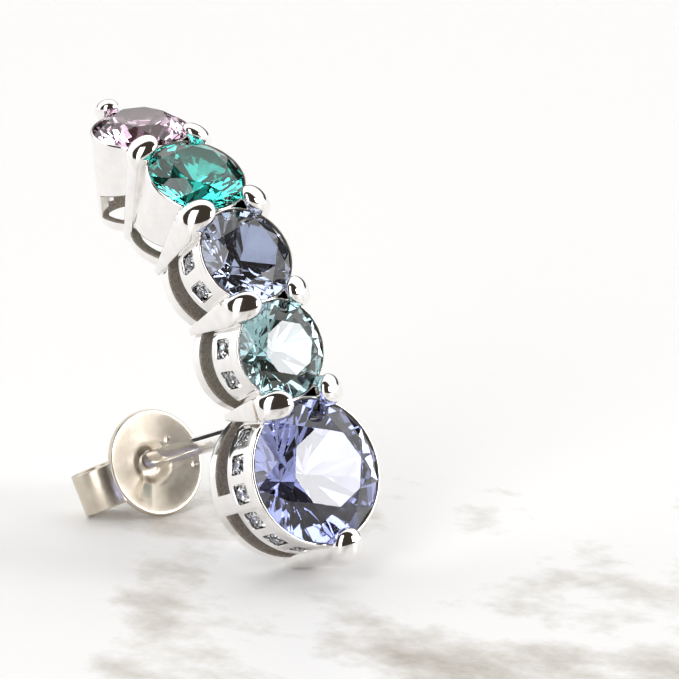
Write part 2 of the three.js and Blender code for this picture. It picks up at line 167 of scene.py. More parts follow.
mounts = {m["name"]: TO_ROW @ Vector(m["pos_m"]) for m in frame["record"]["mounts"]}
post_tip = mounts["post_tip"]
back_plane = mounts["ear_face"].y
nut_corners = np.array([TO_ROW @ Vector(p) for p in corners_of("ear_nut")])
nut_plane = nut_corners[:, 1].min()
print(f"post ends {post_tip.y:.2f} mm back, nut starts {nut_plane:.2f} mm back")

# %% [markdown]
# ## The camera
#
# Jewellery is shot with a long lens from about a third of a metre, so that the near claw isn't
# much larger than the far one. We place the camera by azimuth and elevation round the piece,
# with a slight roll, and aim it a little above the violet stone.

# %% Camera
CAMERA = {"azimuth": -35.44, "elevation": 16.49, "roll": -1.36, "distance": 333.4, "lens": 426.1}
AIM = {"right": 0.99, "up": 5.46}  # millimetres from the violet stone's centre


def camera_axes(azimuth, elevation, roll):
    a, e = math.radians(azimuth), math.radians(elevation)
    back = Vector((math.sin(a) * math.cos(e), -math.cos(a) * math.cos(e), math.sin(e)))
    right = Vector((0, 0, 1)).cross(back).normalized()
    right = Matrix.Rotation(math.radians(roll), 3, back) @ right
    return right, back.cross(right), back


right, up, toward = camera_axes(CAMERA["azimuth"], CAMERA["elevation"], CAMERA["roll"])
aim = violet_centre + (right * AIM["right"] + up * AIM["up"]) * MM
lens = bpy.data.cameras.new("camera")
lens.lens = CAMERA["lens"]
lens.clip_start, lens.clip_end = 0.01, 20
camera = bpy.data.objects.new("camera", lens)
bpy.context.scene.collection.objects.link(camera)
camera.matrix_world = (
    Matrix.Translation(aim + toward * CAMERA["distance"] * MM)
    @ Matrix((right, up, toward)).transposed().to_4x4()
)
bpy.context.scene.camera = camera
print("camera at", [round(c, 3) for c in camera.matrix_world.translation], "m")

# %% [markdown]
# ## Tools of the bench
#
# A few small tools make every shape. `turned` is a lathe: it spins a profile round the y axis.
# `rod` and `block` are round and square stock. `lofted` skins a stack of outlines, for claws and
# scrolls. Each face carries a finish number, 0 for polished and 1 for rough from the mould.

# %% Lathe, stock and skin
POLISHED, ROUGH = 0, 1
FAR = 12.0  # larger than any basket


def quarter(steps):
    """The angles of a quarter turn, for a rounded edge."""
    return [math.pi / 2 * i / steps for i in range(steps + 1)]


def solid(points, faces, finish):
    mesh = bpy.data.meshes.new("work")
    mesh.from_pydata([tuple(p) for p in points], [], faces)
    shape = bmesh.new()
    shape.from_mesh(mesh)
    bmesh.ops.recalc_face_normals(shape, faces=shape.faces)
    for face in shape.faces:
        face.material_index = finish
    shape.to_mesh(mesh)
    shape.free()
    return mesh


def lofted(outlines, finish=POLISHED, closed=False):
    """Skins equal outlines one after another, with flat ends unless closed on itself."""
    count = len(outlines[0])
    points = [p for outline in outlines for p in outline]
    faces = []
    last = len(outlines) if closed else len(outlines) - 1
    for k in range(last):
        a, b = k * count, (k + 1) % len(outlines) * count
        for i in range(count):
            j = (i + 1) % count
            faces.append((a + i, a + j, b + j, b + i))
    if not closed:
        faces.append(tuple(range(count)))
        faces.append(tuple(range(len(points) - count, len(points))))
    return solid(points, faces, finish)


def turned(profile, sides, finish=POLISHED):
    """Spins (radius, y) points round the y axis, as a solid if they start and end on it, else a ring.

    The profile may be a function of how far up the row a direction points, from -1 to 1.
    """
    at = profile if callable(profile) else (lambda up: profile)
    outlines = []
    for i in range(sides):
        a = 2 * math.pi * i / sides
        outlines.append([(r * math.cos(a), y, r * math.sin(a)) for r, y in at(math.sin(a))])
    if at(0)[0][0] > 0:
        return lofted(outlines, finish, closed=True)
    count = len(outlines[0]) - 2
    points = [outlines[0][0], outlines[0][-1]]
    points += [p for outline in outlines for p in outline[1:-1]]
    faces = []
    for i in range(sides):
        here, there = 2 + i * count, 2 + (i + 1) % sides * count
        faces.append((0, here, there))
        faces.append((1, there + count - 1, here + count - 1))
        for k in range(count - 1):
            faces.append((here + k, here + k + 1, there + k + 1, there + k))
    return solid(points, faces, finish)


def rod(radius, start, end, sides, finish=POLISHED):
    """A plain round bar along the y axis."""
    return turned([(0.0, start), (radius, start), (radius, end), (0.0, end)], sides, finish)


def block(low, high):
    (x0, y0, z0), (x1, y1, z1) = low, high
    outline = [(x0, y0), (x1, y0), (x1, y1), (x0, y1)]
    return lofted([[(x, y, z) for x, y in outline] for z in (z0, z1)])


def moved(mesh, matrix):
    mesh.transform(matrix)
    return mesh


# %% [markdown]
# ## Solder and saw
#
# Booleans do the rest: `union` is solder, `cut` is the saw and `common` keeps only what two
# solids share. A saw cut keeps the cutter's finish, which is just what happens in a casting: the
# faces that no polishing mop can reach stay rough.

# %% Join and cut
def combine(a, b, operation):
    """One boolean step; both inputs are used up."""
    bench = bpy.context.scene.collection
    one = bpy.data.objects.new("work_a", a)
    two = bpy.data.objects.new("work_b", b)
    for item in (one, two):
        bench.objects.link(item)
        while len(item.data.materials) < 2:
            item.data.materials.append(None)
    step = one.modifiers.new("step", "BOOLEAN")
    step.operation, step.object, step.solver = operation, two, "MANIFOLD"
    graph = bpy.context.evaluated_depsgraph_get()
    made = bpy.data.meshes.new_from_object(one.evaluated_get(graph))
    for item, mesh in ((one, a), (two, b)):
        bpy.data.objects.remove(item)
        bpy.data.meshes.remove(mesh)
    return made


def union(meshes):
    meshes = list(meshes)
    whole = meshes[0]
    for mesh in meshes[1:]:
        whole = combine(whole, mesh, "UNION")
    return whole


def cut(mesh, tool):
    return combine(mesh, tool, "DIFFERENCE")


def common(mesh, other):
    return combine(mesh, other, "INTERSECT")


# %% [markdown]
# ## The sizes of the casting
#
# These are the driving sizes of the metal, within a fifth of a millimetre of the construction's.
# The collar is the band just under the stone, the rail is the ring at the back that lies against
# the ear, and the open gallery lets light in between them. Each pair gives a depth at the lower
# and at the upper edge of the stone, because the two top baskets are wedges that bend the row.

# %% Sizes in millimetres
CASTING = {
    "violet": {"collar": (1.83, 1.83), "rail": (2.62, 2.62), "back": (3.3, 3.3), "rim": 0.18, "flare": 0.015},
    "aqua": {"collar": (1.83, 1.83), "rail": (2.64, 2.64), "back": (3.3, 3.3), "rim": 0.13, "flare": 0.03},
    "blue": {"collar": (1.83, 1.88), "rail": (2.66, 2.71), "back": (3.3, 3.4), "rim": 0.13, "flare": 0.03},
    "green": {"collar": (2.37, 3.2), "rail": (3.0, 3.75), "back": (3.6, 4.2), "rim": 0.13, "flare": -0.05},
    "pink": {"collar": (1.95, 3.1), "rail": (3.4, 3.6), "back": (3.95, 3.95), "rim": 0.12, "flare": -0.08},
}
LIP = 0.08  # metal above the middle of the girdle
LEDGE = 0.45  # metal under the stone's edge
WEB = 0.5  # wall between two neighbours
LAP = 0.02  # how far neighbours overlap where they are soldered
FIT = 0.012  # clearance round a stone
GIRDLE = 0.03  # height of a stone's girdle, as a share of its width
PAVILION = 0.43  # depth below the girdle, as a share of its width
WALL_START = 0.3  # depth where the straight wall begins
WALL_SHORT = 0.05  # how far it ends before the rounded back edge
IN_FRONT = 2.0  # how far a seat's tool stands out in front of the stone
SIDES = 144  # of everything turned on a basket's axis
ROUNDING = {"lip": 0.1, "inside": 0.06, "collar": 0.06, "rail": 0.09, "back": 0.16}

for seat in seats:
    seat.metal = CASTING[seat.name]
    seat.outside = seat.radius + seat.metal["rim"]


print("basket widths:", [round(2 * seat.outside, 2) for seat in seats], "mm")


def wall(seat, y):
    """The radius of a basket's outside at a depth."""
    return seat.outside + seat.metal["flare"] * (y + LIP)


def edge_depth(seat, edge, height):
    """The depth of the collar, the rail or the back at a height above the stone's middle."""
    low, high = seat.metal[edge]
    return (low + high) / 2 + height * (high - low) / (2 * seat.radius)


# %% [markdown]
# ## Basket bodies
#
# Each basket starts as a turned cup: a rounded lip, a wall that flares slightly and a rounded
# back edge. Real castings have no knife edges, because polishing takes them off, and those
# small rounds are what catch the light. Neighbours are trimmed at the plane halfway between
# them, so the meeting line is a crisp V.

# %% Turn the cups
def cup_profile(seat):
    lip, back = ROUNDING["lip"], ROUNDING["back"]

    def profile(up):
        deep = edge_depth(seat, "back", up * wall(seat, seat.metal["back"][0]))
        edge = wall(seat, deep)
        top = [(seat.outside - lip + lip * math.sin(t), -LIP + lip - lip * math.cos(t)) for t in quarter(5)]
        body = [(wall(seat, y), y) for y in np.linspace(WALL_START, deep - back - WALL_SHORT, 6)]
        foot = [(edge - back + back * math.cos(t), deep - back + back * math.sin(t)) for t in quarter(6)]
        return [(0.0, -LIP)] + top + body + foot + [(0.0, edge_depth(seat, "back", 0))]

    return profile


def within_row(mesh, k, margin):
    """What is left of a mesh in stone k's own length of the row."""
    if k < len(junctions):
        mesh = cut(mesh, moved(block((-FAR, -FAR, -margin), (FAR, FAR, FAR)), junctions[k]))
    if k > 0:
        mesh = cut(mesh, moved(block((-FAR, -FAR, -FAR), (FAR, FAR, margin)), junctions[k - 1]))
    return mesh


cups = [moved(turned(cup_profile(seat), SIDES), seat.frame) for seat in seats]
body = union(within_row(cup, k, -LAP) for k, cup in enumerate(cups))
print("faces in the cups:", len(body.polygons))

# %% [markdown]
# ## Seats, bores and the open gallery
#
# A seat is cut for each stone, a bore lets light in from behind, and the gallery is sawn through
# between collar and rail. The gallery's edges are eased where they meet the wall. Struts cross
# it at the violet and the pink stone. The tools carry the rough finish, because nobody can
# polish in there.

# %% Cut the seats, bores and galleries
STRUTS = {"violet": (-5, 0.87), "pink": (22, 0.6)}  # degrees up from the side, and width
END_BARS = {"violet": (-1, 0.55), "pink": (1, 0.4)}  # way along the row, and half width


def seat_room(seat):
    edge, inner = seat.radius + FIT, seat.radius - LEDGE
    girdle = GIRDLE * seat.radius + FIT
    ledge = girdle + 2 * PAVILION * (edge - inner)
    ease = ROUNDING["inside"]
    flare = [(edge + ease - ease * math.sin(t), -LIP + ease * (1 - math.cos(t))) for t in quarter(4)]
    profile = [(0.0, -IN_FRONT), (edge + ease, -IN_FRONT)] + flare
    profile += [(edge, girdle), (inner, ledge), (0.0, ledge)]
    return turned(profile, SIDES, ROUGH)


def bore(seat):
    return rod(seat.radius - LEDGE, 0.0, FAR, SIDES, ROUGH)


def gallery(seat):
    """A ring-shaped saw between the collar and the rail, eased where it leaves the wall."""
    inner = (seat.radius - LEDGE) / 2
    above, below = ROUNDING["collar"], ROUNDING["rail"]
    beyond = 1.0  # how far the saw stands outside the wall

    def profile(up):
        def collar(r):
            return edge_depth(seat, "collar", up * r)

        def rail(r):
            return edge_depth(seat, "rail", up * r)

        out = wall(seat, collar(seat.outside))
        out_low = wall(seat, rail(seat.outside))
        points = [(inner, collar(inner))]
        points += [(out - above + above * math.sin(t), collar(out) - above + above * math.cos(t))
                   for t in quarter(4)]
        points += [(out + beyond, collar(out) - above), (out_low + beyond, rail(out_low) + below)]
        points += [(out_low - below + below * math.sin(t), rail(out_low) + below - below * math.cos(t))
                   for t in reversed(quarter(4))]
        points += [(inner, rail(inner))]
        return points

    return turned(profile, SIDES, ROUGH)


def on_wall(side, angle):
    """A frame on a basket's wall: x runs out of it, y stays along the stone's axis."""
    outward = -math.radians(angle) if side > 0 else math.pi + math.radians(angle)
    return Matrix.Rotation(outward, 4, "Y")


def spared(seat):
    """What the gallery saw leaves standing: struts, and the bars of the end claws."""
    bars = []
    if seat.name in STRUTS:
        angle, width = STRUTS[seat.name]
        for side in (-1, 1):
            bar = block((0, 0, -width / 2), (FAR, FAR, width / 2))
            bars.append(moved(bar, on_wall(side, angle)))
    if seat.name in END_BARS:
        way, half = END_BARS[seat.name]
        bars.append(block((-half, 0, min(0, way * FAR)), (half, FAR, max(0, way * FAR))))
    return bars


for k, seat in enumerate(seats):
    body = cut(body, moved(seat_room(seat), seat.frame))
    body = cut(body, within_row(moved(bore(seat), seat.frame), k, WEB / 2))
    saw = gallery(seat)
    for bar in spared(seat):
        saw = cut(saw, bar)
    body = cut(body, within_row(moved(saw, seat.frame), k, WEB / 2))
print("faces after sawing:", len(body.polygons))

# %% [markdown]
# ## Windows for the accent stones
#
# Small stones sit in square windows in the collar's wall. The window is an eased rectangle that
# opens outwards a little, then a pocket, then a hole that lets light in from behind. The setter
# cuts the pocket bright, so its tool is polished, and only the hole behind stays rough. The
# stones are already in the frame, so each window is placed on the axis of its own stone.

# %% Cut the windows
WINDOW = {"wide": 0.84, "tall": 0.94, "deep": 0.34, "corner": 0.13, "ease": 0.07, "proud": 0.02}
WINDOW_HOLE = {"radius": 0.29, "start": 0.1, "end": 1.1, "sides": 24}
EASE_TURNS = (0.35, 0.7, 1.05, 1.57)  # angles at which the eased edge is drawn, in radians


def rounded_rectangle(half_x, half_z, corner, steps=4):
    points = []
    for cx, cz, start in ((1, 1, 0), (-1, 1, 90), (-1, -1, 180), (1, -1, 270)):
        for i in range(steps + 1):
            a = math.radians(start + 90 * i / steps)
            x = cx * (half_x - corner) + corner * math.cos(a)
            z = cz * (half_z - corner) + corner * math.sin(a)
            points.append((x, z))
    return points


def window_tool():
    """Along y, which runs into the wall from its face; x is the tall way."""
    ease, proud = WINDOW["ease"], WINDOW["proud"]
    tall, wide, corner = WINDOW["tall"] / 2, WINDOW["wide"] / 2, WINDOW["corner"]
    outside = 0.6  # how far the tool stands outside the wall
    levels = [(-outside, ease), (-proud, ease)]
    levels += [(ease * math.sin(t) - proud, ease * (1 - math.sin(t)) ** 1.6) for t in EASE_TURNS]
    levels += [(WINDOW["deep"], 0.0)]
    outlines = []
    for y, grow in levels:
        flat = rounded_rectangle(tall + grow, wide + grow, corner + grow)
        outlines.append([(x, y, z) for x, z in flat])
    hole = WINDOW_HOLE
    return union([lofted(outlines), rod(hole["radius"], hole["start"], hole["end"], hole["sides"], ROUGH)])


def accent_frames():
    """A frame for each accent stone: y runs into the wall, x along the big stone's axis."""
    frames = {}
    for name in frame["nodes"]:
        if not name.startswith("accent_"):
            continue
        home = next(seat for seat in seats if seat.name == name.split("_")[1])
        points = [TO_ROW @ Vector(p) for p in corners_of(name)]
        local = home.frame.inverted() @ (sum(points, Vector()) / len(points))
        outward = Vector((local.x, 0, local.z)).normalized()
        depth = wall(home, local.y)
        face = Vector((outward.x * depth, local.y, outward.z * depth))
        inward, deep = -outward, Vector((0, 1, 0))
        axes = Matrix((deep, inward, deep.cross(inward))).transposed()
        frames[name] = home.frame @ Matrix.Translation(face) @ axes.to_4x4()
    return frames


windows = accent_frames()
for place in windows.values():
    body = cut(body, moved(window_tool(), place))
print("windows:", len(windows), "faces:", len(body.polygons))

# %% [markdown]
# ## The shape of a claw
#
# A claw is a bead pushed down over the stone's edge, on a bar that tapers towards the back. We
# skin it in one go, from the top of the bead to the toe: every section is a soft rectangle, and
# its width, thickness and place change smoothly with depth. The bead leans. Each section slides
# outwards as it goes deeper, so from one side the near bead looks wide and the far one narrow.

# %% Skin one claw
DOME = 0.84  # height of a bead above its widest line, as a share of its radius
ROUND, SHOULDER_POWER, TOE_POWER = 2, 4.5, 6.5  # how square a section is, from bead to toe


def soft_section(x, y, z, half_x, half_z, power, count=40):
    """A section across y: an ellipse at power 2, closer to a rectangle above it."""
    points = []
    for i in range(count):
        a = 2 * math.pi * i / count
        c, s = math.cos(a), math.sin(a)
        px = half_x * math.copysign(abs(c) ** (2 / power), c)
        pz = half_z * math.copysign(abs(s) ** (2 / power), s)
        points.append((x + px, y, z + pz))
    return points


def hermite(t, start, end, slope_start, slope_end):
    """A smooth curve between two values with given slopes."""
    a, b = 2 * t ** 3 - 3 * t ** 2 + 1, -2 * t ** 3 + 3 * t ** 2
    return a * start + b * end + (t ** 3 - 2 * t ** 2 + t) * slope_start + (t ** 3 - t ** 2) * slope_end


def claw(head, shoulder, toe, lean):
    """head is (x, y, z, half x, half z); shoulder and toe are alike. lean is the slant in x and z."""
    hx, hy, hz, wide, radius = head
    outlines = []
    for a in np.linspace(0.1, math.pi / 2, 10):
        share = math.sin(a)
        rise = DOME * radius * math.cos(a)
        x, z = hx - lean[0] * rise, hz - lean[1] * rise
        outlines.append(soft_section(x, hy - rise, z, wide * share, radius * share, ROUND))
    neck = shoulder[1] - hy
    bar = toe[1] - shoulder[1]
    measures = (0, 2, 3, 4)  # x, z, half x and half z
    starts = ((hx, lean[0] * neck), (hz, lean[1] * neck), (wide, 0), (radius, 0))
    slopes = [(toe[i] - shoulder[i]) / bar * neck for i in measures]
    for t in np.linspace(0, 1, 9)[1:]:
        x, z, half_x, half_z = (
            hermite(t, start, shoulder[i], first, last)
            for (start, first), i, last in zip(starts, measures, slopes)
        )
        power = ROUND + t * (SHOULDER_POWER - ROUND)
        outlines.append(soft_section(x, hy + t * neck, z, half_x, half_z, power))
    for t in np.linspace(0, 1, 7)[1:]:
        x, z, half_x, half_z = ((1 - t) * shoulder[i] + t * toe[i] for i in measures)
        power = SHOULDER_POWER + t * (TOE_POWER - SHOULDER_POWER)
        outlines.append(soft_section(x, shoulder[1] + t * bar, z, half_x, half_z, power))
    return lofted(outlines)


# %% [markdown]
# ## Ten claws
#
# Eight claws stand in pairs between two stones and hold both, and a single one closes each end
# of the row. The low one is thick and ends in the flat foot that the piece lies on.

# %% Place the claws
SHARED = [  # from the lowest pair up; bead, foot and depth place a claw, the rest are half widths
    {"bead": 1.43, "foot": 1.2, "depth": 3.3, "radius": 0.66, "wide": 0.64, "toe": 0.14},
    {"bead": 1.4, "foot": 1.72, "depth": 3.05, "radius": 0.65, "wide": 0.64, "toe": 0.15},
    {"bead": 1.5, "foot": 1.78, "depth": 3.3, "radius": 0.68, "wide": 0.68, "toe": 0.15},
    {"bead": 1.4, "foot": 1.42, "depth": 3.8, "radius": 0.6, "wide": 0.38, "toe": 0.28},
]
CLAW = {"height": 0.6, "shoulder": 0.35, "splay": 0.1, "thick": 0.42, "toe": 0.24}
LEAN = 0.7  # how far a shared bead slides outwards for each millimetre of depth
NARROW = 0.92  # its width across the row, as a share of its length along it
# The end claws: "half" and "out" are half width and reach outwards, at the shoulder and the toe.
LOW_CLAW = {
    "radius": 0.74, "height": 0.62, "reach": 0.36, "lean": 0.4, "half": (0.64, 0.68), "out": (0.98, 0.62)
}
TOP_CLAW = {"radius": 0.5, "height": 0.3, "reach": 0.38, "lean": 0.3, "half": (0.4, 0.4), "out": (0.5, 0.2)}
CLAW_ROOT = 0.1  # how far an end claw's bar reaches into the basket's wall


def shared_claws():
    made = []
    for place, row in zip(junctions, SHARED):
        share = CLAW["shoulder"] / row["depth"]
        for side in (-1, 1):
            x = side * ((1 - share) * (row["bead"] + CLAW["splay"]) + share * row["foot"])
            head = (side * row["bead"], -CLAW["height"], 0, NARROW * row["radius"], row["radius"])
            shoulder = (x, CLAW["shoulder"], 0, CLAW["thick"], row["wide"])
            toe = (side * row["foot"], row["depth"], 0, CLAW["toe"], row["toe"])
            made.append(moved(claw(head, shoulder, toe, (side * LEAN, 0)), place))
    return made


def end_claw(seat, spec, way):
    """The single claw at an end of the row: way is -1 below the lowest stone, 1 above the top."""
    head = (0, -spec["height"], way * (seat.radius + spec["reach"]), spec["radius"], spec["radius"])
    depths = (CLAW["shoulder"], seat.metal["back"][0])
    shoulder, toe = (
        (0, y, way * (seat.radius + (out - CLAW_ROOT) / 2), half, (out + CLAW_ROOT) / 2)
        for y, out, half in zip(depths, spec["out"], spec["half"])
    )
    return moved(claw(head, shoulder, toe, (0, way * spec["lean"])), seat.frame)


ground = block((-2 * FAR, -2 * FAR, -FAR), (2 * FAR, 2 * FAR, 0))  # all that lies below the surface
low_claw = cut(end_claw(seats[0], LOW_CLAW, -1), moved(ground, TO_ROW @ Matrix.Scale(MM, 4)))
claws = shared_claws() + [low_claw, end_claw(seats[-1], TOP_CLAW, 1)]
print("claws:", len(claws))

# %% [markdown]
# ## Cutting the stones
#
# A cutter grinds flats onto a round piece of rough, one after another, and so do we. The rough
# is turned, then each flat slices it: the table, eight mains, eight stars and sixteen halves on
# the crown, and eight mains and sixteen halves below. Because the rough is round, the halves
# leave a fine wavy edge along the girdle, which no polygon stone has.

# %% Cut five brilliants
TABLE, CROWN, STAR, LOWER_TIP = 0.57, 0.15, 0.5, 0.22  # shares of radius or width
BLANK_SIDES = 128  # of the turned rough
SPIN = {"violet": 0, "aqua": 0, "blue": 11, "green": 19, "pink": 0}  # turn of each stone, degrees


def grind(shape, through):
    """Slices a convex shape with the plane through three points, keeping the side of the core."""
    a, b, c = (Vector(p) for p in through)
    normal = (b - a).cross(c - a).normalized()
    if normal.dot(a) < 0:
        normal = -normal
    geometry = shape.verts[:] + shape.edges[:] + shape.faces[:]
    made = bmesh.ops.bisect_plane(
        shape, geom=geometry, dist=1e-6, plane_co=a, plane_no=normal, clear_outer=True
    )
    rim = [item for item in made["geom_cut"] if isinstance(item, bmesh.types.BMEdge) and item.is_boundary]
    if rim:
        bmesh.ops.edgeloop_fill(shape, edges=rim)


def brilliant(radius, spin):
    """A round brilliant on the y axis, table towards -y, the middle of its girdle at y = 0."""
    width = 2 * radius
    girdle, crown, deep = GIRDLE * radius, CROWN * width, PAVILION * width
    half = math.cos(math.pi / 8)
    table = TABLE * radius
    star = (1 - STAR) * table * half + STAR * radius
    star_y = -girdle - crown * (radius - star * half) / (radius - table)
    tip = LOWER_TIP * radius
    tip_y = girdle + deep * (1 - tip * half / radius)
    blank = rod(radius, -girdle - crown, girdle + deep, BLANK_SIDES)
    shape = bmesh.new()
    shape.from_mesh(blank)
    bpy.data.meshes.remove(blank)

    def at(r, y, turn):
        return (r * math.cos(turn), y, r * math.sin(turn))

    for k in range(8):
        here = k * math.pi / 4
        for way in (-1, 1):
            beside = here + way * math.pi / 8
            grind(shape, [at(star, star_y, beside), at(radius, -girdle, here), at(radius, -girdle, beside)])
            grind(shape, [at(tip, tip_y, beside), at(radius, girdle, here), at(radius, girdle, beside)])
        middle = here + math.pi / 8
        corner = at(table, -girdle - crown, here)
        next_corner = at(table, -girdle - crown, here + math.pi / 4)
        grind(shape, [corner, at(radius, -girdle, here), at(star, star_y, middle)])
        grind(shape, [at(0.0, girdle + deep, here), at(radius, girdle, here), at(tip, tip_y, middle)])
        grind(shape, [corner, next_corner, at(star, star_y, middle)])
    bmesh.ops.rotate(shape, verts=shape.verts, matrix=Matrix.Rotation(math.radians(spin), 3, "Y"))
    bmesh.ops.recalc_face_normals(shape, faces=shape.faces)
    mesh = bpy.data.meshes.new("brilliant")
    shape.to_mesh(mesh)
    shape.free()
    return mesh


def to_world(mesh, name):
    """Turns a finished mesh from row millimetres into the frame's metres, as a new object."""
    mesh.transform(ROW)
    mesh.name = name
    made = bpy.data.objects.new(name, mesh)
    bpy.context.scene.collection.objects.link(made)
    return made


stones = {}
for seat in seats:
    cut_stone = moved(brilliant(seat.radius, SPIN[seat.name]), seat.frame)
    stones[seat.name] = to_world(cut_stone, "gem_" + seat.name)
    print(seat.name, "facets and girdle faces:", len(cut_stone.polygons))

# %% [markdown]
# ## Trim the claws, add the post, and solder up
#
# Each claw is trimmed by a copy of the stone a hair larger than the real one, so the metal hugs
# the crown. The post is a plain wire with a rounded tip. It is soldered to a bridge across the
# lowest basket, and the solder leaves a small hollow-sided collar at its root. One union then
# makes the whole setting a single solid, as the finished casting is.

# %% The finished setting
POST = {"radius": 0.4, "tip": 0.15, "fillet": 0.3}
WIRE_SIDES = 48
BRIDGE = {"half": 1.7, "low": 1.85, "high": 3.0, "thick": 0.6}


def trimmed(mesh):
    for seat in seats:
        tool = brilliant(seat.radius + FIT, SPIN[seat.name])
        mesh = cut(mesh, moved(tool, seat.frame))
    return mesh


def post():
    r, tip, fillet = POST["radius"], POST["tip"], POST["fillet"]
    start, end = back_plane - BRIDGE["thick"] / 2, post_tip.y
    turns = quarter(8)
    profile = [(0.0, start), (r + fillet, start)]
    profile += [(r + fillet - fillet * math.sin(t), back_plane + fillet * (1 - math.cos(t))) for t in turns]
    profile += [(r - tip + tip * math.cos(t), end - tip + tip * math.sin(t)) for t in turns]
    profile += [(0.0, end)]
    return moved(turned(profile, WIRE_SIDES), Matrix.Translation((0, 0, post_tip.z)))


def bridge():
    front = back_plane - BRIDGE["thick"]
    bar = block((-BRIDGE["half"], front, BRIDGE["low"]), (BRIDGE["half"], back_plane, BRIDGE["high"]))
    reach = seats[0].radius + seats[0].metal["rim"] / 2
    return common(bar, rod(reach, front, back_plane, SIDES))


setting_mesh = union([body] + [trimmed(mesh) for mesh in claws] + [bridge(), post()])
setting = to_world(setting_mesh, "climber_setting")
print("faces in the setting:", len(setting_mesh.polygons))

# %% [markdown]
# ## The nut's pad
#
# The nut is stamped from one springy strip: a round dished pad with a hole, and two arms curled
# up behind it that grip the post. We turn the pad, sink a small cup round the hole, crease the
# root of the near arm and leave two little marks where the punch held the blank.

# %% Press the pad
NUT = {"rim": 2.3, "thick": 0.26, "dish": 0.42, "power": 1.5, "hole": 0.43, "turn": 5.5, "ease": 0.1}
PAD_SIDES = 160
CUP = {"flat": 0.45, "radius": 1.0, "deep": 0.28}
CREASE = {"angle": 221, "deep": 0.2, "root": (0.4, 1.0), "end": (1.6, 2.1)}  # the near arm is at 180
MARKS = [(1.1, 0.74), (1.8, -0.76)]  # where the punch held the blank
MARK = {"deep": 0.06, "size": (0.02, 0.17)}  # from the flat of a mark to its edge


def smoothstep(value, low, high):
    t = min(max((value - low) / (high - low), 0.0), 1.0)
    return t * t * (3 - 2 * t)


def dish(r):
    """How far the pad's front lies behind its rim."""
    bowl = NUT["dish"] * max(0.0, 1 - (r / NUT["rim"]) ** 2) ** NUT["power"]
    return bowl + CUP["deep"] * (1 - smoothstep(r, CUP["flat"], CUP["radius"]))


def pressed(x, z):
    """How far the crease and the marks push the sheet back at a place on the pad."""
    way = math.radians(CREASE["angle"])
    along = x * math.cos(way) + z * math.sin(way)
    aside = abs(z * math.cos(way) - x * math.sin(way))
    wide = 0.12 + 0.22 * max(along, 0)  # the crease opens out towards the rim
    fold = smoothstep(along, *CREASE["root"]) * (1 - smoothstep(along, *CREASE["end"]))
    fold *= max(0, 1 - aside / wide)
    marks = sum(1 - smoothstep(math.hypot(x - mx, z - mz), *MARK["size"]) for mx, mz in MARKS)
    return CREASE["deep"] * fold + MARK["deep"] * marks


def pad():
    thick, ease = NUT["thick"], NUT["ease"]
    flat = NUT["rim"] - ease
    high, low = dish(flat), dish(flat) + thick
    radii = list(np.linspace(0, flat, 40))[1:]
    front = [(r, dish(r)) for r in radii]
    edge = [(flat + ease * math.sin(t), high + ease * (1 - math.cos(t))) for t in quarter(5)[1:]]
    edge += [(flat + ease * math.cos(t), low - ease + ease * math.sin(t)) for t in quarter(5)[:-1]]
    back = [(r, dish(r) + thick) for r in reversed(radii)]
    profile = [(0.0, dish(0))] + front + edge + back + [(0.0, dish(0) + thick)]
    sheet = turned(profile, PAD_SIDES)
    for vertex in sheet.vertices:
        vertex.co.y += pressed(vertex.co.x, vertex.co.z)
    return sheet


# %% [markdown]
# ## The nut's scrolls
#
# The arms are a flat strip with eased edges, swept along a spiral. Each one leaves the back of
# the pad, runs outwards and rolls up until it can grip the post. Last the hole is drilled, and
# the nut goes on the post, turned a little, as a finger would leave it.

# %% Roll the scrolls
STRIP = {"width": 1.8, "drop": 0.137, "ease": 0.07, "root": 1.3}
SCROLLS = [
    {"centre": -2.05, "start": 0.18, "radius": 1.1, "inner": 0.62},
    {"centre": 1.55, "start": 0.3, "radius": 0.9, "inner": 0.5},
]
SCROLL_TURNS = 1.12
NUT_OFFSET = (0.17, 0.15)  # how far the hole lies from the pad's middle


def strip_section(middle, along):
    """An eased rectangle across the strip, at a point of its path in the x-y plane."""
    across = Vector((-along.y, along.x))
    points = []
    for u, w in rounded_rectangle(NUT["thick"] / 2, STRIP["width"] / 2, STRIP["ease"], 3):
        spot = middle + across * u
        points.append((spot.x, spot.y, w - STRIP["drop"]))
    return points


def scroll(spec):
    """An arm: it leaves the pad, runs outwards and rolls up behind it."""
    way = math.copysign(1, spec["centre"])
    path = []
    for share in np.linspace(0, 1, 72):
        a = -math.pi / 2 + share * SCROLL_TURNS * 2 * math.pi
        tight = smoothstep(share, 0.35, 1)  # the first third keeps its full radius
        r = spec["radius"] + (spec["inner"] - spec["radius"]) * tight
        centre = Vector((spec["centre"], spec["start"] + spec["radius"]))
        path.append(centre + Vector((way * math.cos(a), math.sin(a))) * r)
    start = Vector((way * STRIP["root"], dish(STRIP["root"]) + NUT["thick"] * 0.9))
    path = [start.lerp(path[0], t) for t in (0.0, 0.35, 0.7)] + path
    outlines = []
    for i, spot in enumerate(path):
        before, after = path[max(i - 1, 0)], path[min(i + 1, len(path) - 1)]
        along = (after - before).normalized()
        outlines.append(strip_section(spot, along))
    return lofted(outlines)


nut_mesh = union([pad()] + [scroll(spec) for spec in SCROLLS])
nut_mesh = moved(nut_mesh, Matrix.Translation((-NUT_OFFSET[0], 0, -NUT_OFFSET[1])))
nut_mesh = cut(nut_mesh, rod(NUT["hole"], -2.0, 6.0, WIRE_SIDES))
place = Matrix.Translation((0, nut_plane, post_tip.z)) @ Matrix.Rotation(-math.radians(NUT["turn"]), 4, "Y")
nut = to_world(moved(nut_mesh, place), "butterfly_nut")
print("faces in the nut:", len(nut_mesh.polygons))

